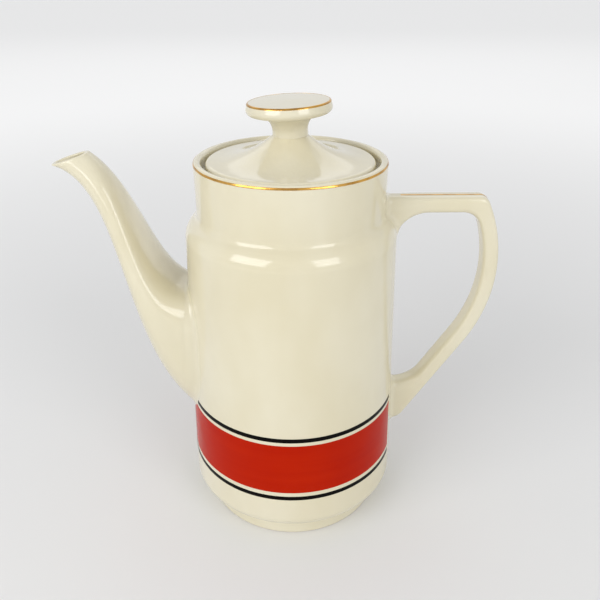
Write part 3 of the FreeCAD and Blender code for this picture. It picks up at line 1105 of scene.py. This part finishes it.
@dataclass
class EarHandle:
    """The ear handle: a level arm, a long round back and a leg that turns in to the wall."""

    body: PotBody
    arm_rise: float = 13.1
    arm_corner: float = 5.0
    arm_inner_corner: float = 10.0
    arm_fillet: float = 3.0
    arm_root_offset: float = -0.8
    arm_root_rounding: float = 16.0
    thickness: float = 7.9
    depth: float = 11.5
    squareness: float = 4.8
    reach: float = 49.4
    back_radius: float = 80.0
    back_drop: float = 38.3
    leg_foot: float = 43.5
    leg_foot_offset: float = 4.2
    leg_foot_rounding: float = 6.0
    leg_root_height: float = 24.9
    leg_root_rounding: float = 18.0
    leg_fillet: float = 3.0
    core_depth: float = 8.0
    gold_start: float = 53.2
    gold_width: float = 1.3
    gold_thickness: float = 0.06
    gold_edge_share: float = 0.4
    gold_columns: int = 7
    around: int = 48
    samples: int = 192
    arm_steps: int = 120
    corner_steps: int = 16
    back_steps: int = 50
    leg_steps: int = 40
    foot_steps: int = 24
    rows: int = 190

    def __post_init__(self) -> None:
        """Works out the arcs of the outer and of the inner edge."""
        self.arm_z = self.body.shoulder_z + self.arm_rise
        wall = self.body.wall_radius(self.leg_foot)
        self.centre = side(wall + self.reach - self.back_radius, self.arm_z - self.back_drop)
        self.core = self.body.neck_radius - self.core_depth
        to_foot = side(wall + self.leg_foot_offset, self.leg_foot) - self.centre
        bearing = math.degrees(math.atan2(to_foot.z, to_foot.x))
        self.leg_angle = bearing + math.degrees(math.acos(self.back_radius / to_foot.length))

    def arm_drop(self, x: float) -> float:
        """Works out how far the underside of the arm comes down as it runs into the wall.

        Args:
            x: The place along the arm.

        Returns:
            The drop there.
        """
        root = self.body.wall_radius(self.arm_z - self.thickness) + self.arm_root_offset
        inwards = min(self.arm_root_rounding, max(0.0, root + self.arm_root_rounding - x))
        return self.arm_root_rounding - math.sqrt(self.arm_root_rounding**2 - inwards**2)

    def edge(self, inner: bool) -> Row:
        """Draws one edge of the side view, from inside the neck round to inside the wall.

        Args:
            inner: Whether it is the edge towards the pot.

        Returns:
            The points, as many for both edges.
        """
        inset = self.thickness if inner else 0.0
        radius = self.back_radius - inset
        z = self.arm_z - inset
        corner = self.arm_inner_corner if inner else self.arm_corner
        turn = math.degrees(math.asin((z - corner - self.centre.z) / (radius - corner)))
        elbow = side(self.centre.x + (radius - corner) * math.cos(math.radians(turn)), z - corner)
        foot_z = self.leg_foot + (self.leg_root_height if inner else 0.0)
        rounding = self.leg_root_rounding if inner else self.leg_foot_rounding
        leg = math.radians(self.leg_angle)
        foot_x = self.centre.x + (radius - math.sin(leg) * (foot_z - self.centre.z)) / math.cos(leg)
        run = rounding * math.tan((math.pi / 2 + leg) / 2)
        heel = side(foot_x - run, foot_z + rounding)
        points = []
        for share in shares(self.arm_steps):
            x = mix(self.core, elbow.x, share)
            points.append(side(x, z - (self.arm_drop(x) if inner else 0.0)))
        points += arc(elbow, corner, QUARTER_TURN, turn, self.corner_steps)
        points += arc(self.centre, radius, turn, self.leg_angle, self.back_steps)
        knee, ankle = polar(self.centre, radius, self.leg_angle), polar(heel, rounding, self.leg_angle)
        points += [knee.lerp(ankle, share) for share in shares(self.leg_steps)]
        points += arc(heel, rounding, self.leg_angle, -QUARTER_TURN, self.foot_steps)
        points += [side(mix(heel.x, self.core, share), foot_z) for share in shares(self.foot_steps)]
        return points + [side(self.core, foot_z)]

    def lines(self) -> list[Row]:
        """Draws lines along the handle.

        Returns:
            The lines, starting with the one on its outer edge.
        """
        sections = []
        square = soft_square(self.samples, self.squareness, self.squareness)
        for outer, inner in zip(self.edge(False), self.edge(True)):
            middle, half = (outer + inner) / 2, (outer - inner) / 2
            loop = [middle + half * up + side(0, 0, self.depth / 2 * out) for up, out in square]
            sections.append(even_loop(loop, self.around))
        return crosswise(sections)

    def build(self, finishes: Finishes) -> None:
        """Makes the handle and its gilded line, and dresses them.

        Args:
            finishes: The finishes.
        """
        rows = LutedSkin(self.body, self.lines(), self.arm_fillet, self.leg_fillet).rows(self.rows)
        finishes.dress(finished(sheet(rows), "ear_handle"), "handle", Body.POT, Slot.GLAZE)
        finishes.dress(self.gold_line(), "handle_gold_line", Body.POT, Slot.GOLD)

    def gold_line(self) -> bpy.types.Object:
        """Makes the gilded line along the top of the arm.

        Returns:
            The line.
        """
        lowest = self.arm_z - self.arm_corner / 2
        top = [point for point in self.edge(False) if point.x > self.gold_start and point.z > lowest]
        last = self.gold_columns - 1
        strip = []
        for i in range(self.gold_columns):
            across = mix(-self.gold_width / 2, self.gold_width / 2, i / last)
            level = (1 - abs(2 * across / self.depth) ** self.squareness) ** (1 / self.squareness)
            lift = self.gold_thickness * (self.gold_edge_share if i in (0, last) else 1.0)
            strip.append(side(0, lift - (1 - level) * self.thickness / 2, across))
        mesh = sheet([[point + offset for offset in strip] for point in top], closed=False)
        bmesh.ops.recalc_face_normals(mesh, faces=mesh.faces)
        bmesh.ops.solidify(mesh, geom=list(mesh.faces), thickness=self.gold_thickness)
        return finished(mesh, "gilt_handle_line")


@dataclass
class Cover:
    """The lift-off lid, which sweeps up to a crease in one hollow curve, and the leaning mushroom knob."""

    body: PotBody
    rim_gap: float = 1.9
    seat_gap: float = 0.2
    edge_height: float = 5.2
    edge_rounding: float = 2.0
    wall: float = 4.0
    skirt_gap: float = 1.2
    skirt_depth: float = 12.0
    skirt_wall: float = 3.0
    skirt_rounding: float = 1.2
    boss_radius: float = 8.4
    boss_height: float = 11.2
    boss_cap: float = 6.0
    boss_slope: float = 41.0
    flare_radius: float = 44.0
    hollow_rounding: float = 30.0
    lean: float = 2.6
    neck_radius: float = 8.2
    neck_height: float = 8.5
    neck_rounding: float = 7.0
    knob_radius: float = 20.8
    knob_top_radius: float = 19.3
    underside_slope: float = 9.0
    knob_edge_height: float = 5.0
    knob_edge_rounding: float = 2.4
    knob_top_rounding: float = 0.9
    crown: float = 0.4
    seat_overlap: float = 0.1
    seat_fill: float = 0.5
    gold_from: float = 12.0
    gold_to: float = 86.0

    def __post_init__(self) -> None:
        """Works out the heights that follow from the seat."""
        self.base_z = self.body.ledge_z + self.seat_gap
        self.top_z = self.base_z + self.edge_height
        self.crease_z = self.top_z + self.boss_height

    def lid_corners(self) -> list[Corner]:
        """Lists the corners of the lid's side view.

        Returns:
            The corners, from the middle of its hollow to the middle of its boss.
        """
        skirt_radius = self.body.ledge_radius - self.skirt_gap
        skirt_inner = skirt_radius - self.skirt_wall
        skirt_z = self.body.ledge_z - self.skirt_depth
        radius = self.body.rim_inner - self.rim_gap
        slope = math.radians(self.boss_slope)
        spread = 1 / math.tan(slope)
        flare_x = self.boss_radius + self.boss_height * spread
        under_z = self.top_z - self.wall
        hollow_x = flare_x + self.wall * spread - self.wall / math.sin(slope)
        hollow_z = self.crease_z - self.boss_cap
        return [
            Corner(0, hollow_z),
            Corner(hollow_x - (hollow_z - under_z) * spread, hollow_z),
            Corner(hollow_x, under_z, self.hollow_rounding),
            Corner(skirt_inner, under_z, self.skirt_rounding),
            Corner(skirt_inner, skirt_z, self.skirt_rounding),
            Corner(skirt_radius, skirt_z, self.skirt_rounding),
            Corner(skirt_radius, self.base_z),
            Corner(radius, self.base_z),
            Corner(radius, self.top_z, self.edge_rounding),
            Corner(flare_x, self.top_z, self.flare_radius),
            Corner(self.boss_radius - self.seat_fill * spread, self.crease_z + self.seat_fill),
            Corner(0, self.crease_z + self.seat_fill),
        ]

    def knob_corners(self) -> list[Corner]:
        """Lists the corners of the knob's side view before it leans.

        Returns:
            The corners, from the middle of its seat to the middle of its top.
        """
        seat_z = self.crease_z - self.seat_overlap
        neck_z = self.crease_z + self.neck_height
        disc_z = neck_z + rise(self.knob_radius - self.neck_radius, self.underside_slope)
        top_z = disc_z + self.knob_edge_height
        return [
            Corner(0, seat_z),
            Corner(self.boss_radius, seat_z),
            Corner(self.neck_radius, neck_z, self.neck_rounding),
            Corner(self.knob_radius, disc_z, self.knob_edge_rounding),
            Corner(self.knob_top_radius, top_z, self.knob_top_rounding),
            Corner(0, top_z + self.crown),
        ]

    def leaned(self, mesh: Mesh) -> Mesh:
        """Leans a mesh as the knob does, about the middle of the crease under it.

        Args:
            mesh: The mesh.

        Returns:
            The same mesh.
        """
        turn = Matrix.Rotation(math.radians(-self.lean), 3, "Y")
        bmesh.ops.rotate(mesh, cent=side(0, self.crease_z), matrix=turn, verts=mesh.verts)
        return mesh

    def build(self, finishes: Finishes) -> None:
        """Makes the lid and its knob, and dresses them.

        Args:
            finishes: The finishes.
        """
        lid = finished(spun(outline(self.lid_corners())), "lid_with_skirt")
        finishes.dress(lid, "lid", Body.COVER, Slot.GLAZE)
        corners = self.knob_corners()
        knob = finished(self.leaned(spun(outline(corners))), "mushroom_knob")
        finishes.dress(knob, "knob", Body.COVER, Slot.GLAZE)
        _, centre = rounding_arc(*corners[-3:])
        ring = GiltEdge(centre, self.knob_top_rounding, self.gold_from, self.gold_to)
        gilt = finished(self.leaned(ring.mesh()), "gilt_knob_edge")
        finishes.dress(gilt, "knob_gold_line", Body.COVER, Slot.GOLD)


@dataclass
class GiltEdge:
    """A thin ring of gold on a rounded edge, between two angles from +X towards +Z."""

    centre: Vector
    radius: float
    start: float
    stop: float
    thickness: float = 0.06
    sunk: float = 0.03
    steps: int = 8

    def mesh(self) -> Mesh:
        """Turns the ring.

        Returns:
            The ring.
        """
        angles = [mix(self.start, self.stop, share) for share in [*shares(self.steps), 1.0]]
        outer = [polar(self.centre, self.radius + self.thickness, angle) for angle in angles]
        inner = [polar(self.centre, self.radius - self.sunk, angle) for angle in reversed(angles)]
        return spun(outer + inner, loop=True)


@dataclass
class Banding:
    """The red band with a black line over and under it, open at the handle."""

    body: PotBody
    red_base: float = 36.5
    red_height: float = 29.8
    line_height: float = 2.4
    gap_above: float = 2.0
    gap_below: float = 2.4
    opening: float = 39.0
    spout_half_angle: float = 23.0
    thickness: float = 0.07
    sunk: float = 0.05
    gold_from: float = 6.0
    gold_to: float = 38.0

    def ring(self, base: float, height: float, start: float, stop: float) -> Mesh:
        """Paints a ring on the wall.

        Args:
            base: Where its lower edge is.
            height: How high it is.
            start: Where it starts, in degrees from +X.
            stop: Where it stops.

        Returns:
            The ring.
        """
        heights = (base, base + height)
        outer = [side(self.body.wall_radius(z) + self.thickness, z) for z in heights]
        inner = [side(self.body.wall_radius(z) - self.sunk, z) for z in reversed(heights)]
        return spun(outer + inner, start, stop - start, loop=True)

    def build(self, finishes: Finishes) -> None:
        """Makes the band and its two lines, and dresses them.

        Args:
            finishes: The finishes.
        """
        start, stop = self.opening / 2, FULL_TURN - self.opening / 2
        red = finished(self.ring(self.red_base, self.red_height, start, stop), "painted_red_band")
        finishes.dress(red, "red_band", Body.POT, Slot.RED)
        low_z = self.red_base - self.gap_below - self.line_height
        low = finished(self.ring(low_z, self.line_height, start, stop), "painted_lower_line")
        finishes.dress(low, "lower_black_line", Body.POT, Slot.BLACK)
        high_z = self.red_base + self.red_height + self.gap_above
        halves = self.ring(high_z, self.line_height, start, HALF_TURN - self.spout_half_angle)
        other_half = self.ring(high_z, self.line_height, HALF_TURN + self.spout_half_angle, stop)
        other = mesh_data(other_half, "other_half")
        halves.from_mesh(other)
        bpy.data.meshes.remove(other)
        finishes.dress(finished(halves, "painted_upper_line"), "upper_black_line", Body.POT, Slot.BLACK)
        lip = self.body.lip_rounding
        centre = side(self.body.neck_radius - lip, self.body.rim_z - lip)
        edge = GiltEdge(centre, lip, self.gold_from, self.gold_to)
        finishes.dress(finished(edge.mesh(), "gilt_rim"), "rim_gold_line", Body.POT, Slot.GOLD)


class Softbox(NamedTuple):
    """A large soft lamp that faces the pot, in metres, degrees and watts."""

    name: str
    azimuth: float
    height: float
    distance: float
    width: float
    tall: float
    power: float


@dataclass
class Studio:
    """Floor, light and camera, in metres and degrees.

    The far floor and the room look a little brighter to the camera and in reflections than they light.
    """

    focal_pixels: float = 640.0
    image_pixels: float = 600.0
    sensor: float = 36.0
    clip_start: float = 0.01
    eye: Triple = (0.0, -0.30013, 0.27598)
    pitch: float = 27.645
    yaw: float = 0.812
    roll: float = -0.124
    floor_size: float = 30.0
    floor_colour: Colour = (0.8, 0.8, 0.795)
    floor_roughness: float = 0.85
    floor_glow: Pair = (0.0, 0.26)
    glow_reach: Pair = (0.1, 1.3)
    sky_colour: Colour = (0.98, 0.985, 1.0)
    sky_levels: Pair = (0.7, 0.62)
    sky_seen: float = 0.17
    target_height: float = 0.12
    softboxes: tuple[Softbox, ...] = (
        Softbox("left_window", azimuth=-46.0, height=0.8, distance=1.3, width=1.0, tall=0.8, power=8.6),
        Softbox("right_window", azimuth=38.0, height=0.8, distance=1.4, width=0.7, tall=0.8, power=5.4),
        Softbox("back_panel", azimuth=180.0, height=1.5, distance=2.0, width=3.0, tall=1.0, power=5.0),
    )

    def camera(self) -> None:
        """Places the camera where the picture was taken from."""
        yaw, pitch, roll = (math.radians(angle) for angle in (self.yaw, self.pitch, self.roll))
        ahead = Vector((math.sin(yaw) * math.cos(pitch), math.cos(yaw) * math.cos(pitch), -math.sin(pitch)))
        right = Vector((math.cos(yaw), -math.sin(yaw), 0.0))
        upright = right.cross(ahead)
        across = right * math.cos(roll) + upright * math.sin(roll)
        upward = upright * math.cos(roll) - right * math.sin(roll)
        data = bpy.data.cameras.new("camera")
        data.sensor_width = self.sensor
        data.lens = self.focal_pixels / self.image_pixels * self.sensor
        data.clip_start = self.clip_start
        camera = placed("camera", data)
        turn = Matrix((across, upward, -ahead)).transposed().to_4x4()
        camera.matrix_world = Matrix.Translation(self.eye) @ turn
        bpy.context.scene.camera = camera

    def lamps(self) -> None:
        """Hangs the softboxes round the pot."""
        target = Vector((0, 0, self.target_height))
        for box in self.softboxes:
            data = bpy.data.lights.new(box.name, "AREA")
            data.shape = "RECTANGLE"
            data.size, data.size_y = box.width, box.tall
            data.energy = box.power
            lamp = placed(box.name, data)
            angle = math.radians(box.azimuth)
            lamp.location = (box.distance * math.sin(angle), -box.distance * math.cos(angle), box.height)
            lamp.rotation_euler = (target - lamp.location).to_track_quat("-Z", "Y").to_euler()

    def floor(self) -> None:
        """Lays a plain pale floor under the pot."""
        mesh = bmesh.new()
        bmesh.ops.create_grid(mesh, x_segments=1, y_segments=1, size=self.floor_size / 2)
        floor = placed("floor", mesh_data(mesh, "floor"))
        nodes = Nodes("pale_floor")
        reach = nodes.add("ShaderNodeVectorMath", Vector=nodes.place)
        reach.operation = "LENGTH"
        glow = nodes.spread(reach.outputs["Value"], self.glow_reach, self.floor_glow, smooth=True)
        glow = nodes.maths("MULTIPLY", glow, nodes.seen())
        nodes.set(
            Base_Color=(*self.floor_colour, 1.0),
            Roughness=self.floor_roughness,
            Emission_Color=(*WHITE, 1.0),
            Emission_Strength=glow,
        )
        floor.data.materials.append(nodes.material)

    def world(self) -> None:
        """Fills the room with soft light, a little brighter towards its walls."""
        world = bpy.data.worlds.new("room")
        world.use_nodes = True
        nodes = NodeTree(world.node_tree)
        outlook = nodes.add("ShaderNodeTexCoord").outputs["Generated"]
        height = nodes.add("ShaderNodeSeparateXYZ", Vector=outlook).outputs["Z"]
        level = nodes.spread(height, UNIT, self.sky_levels)
        extra = nodes.maths("MULTIPLY", nodes.seen(), self.sky_seen)
        strength = nodes.maths("ADD", level, extra)
        nodes.fill(nodes.tree.nodes["Background"], Color=(*self.sky_colour, 1.0), Strength=strength)
        bpy.context.scene.world = world

    def build(self) -> None:
        """Sets the picture up."""
        bpy.context.scene.view_settings.view_transform = "Standard"
        self.camera()
        self.lamps()
        self.floor()
        self.world()


def main() -> None:
    """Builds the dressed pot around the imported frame."""
    logging.basicConfig(level=logging.INFO)
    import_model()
    finishes = Finishes()
    body = PotBody()
    body.build(finishes)
    Spout(body).build(finishes)
    EarHandle(body).build(finishes)
    Cover(body).build(finishes)
    Banding(body).build(finishes)
    Studio().build()


if __name__ == "__main__":
    main()
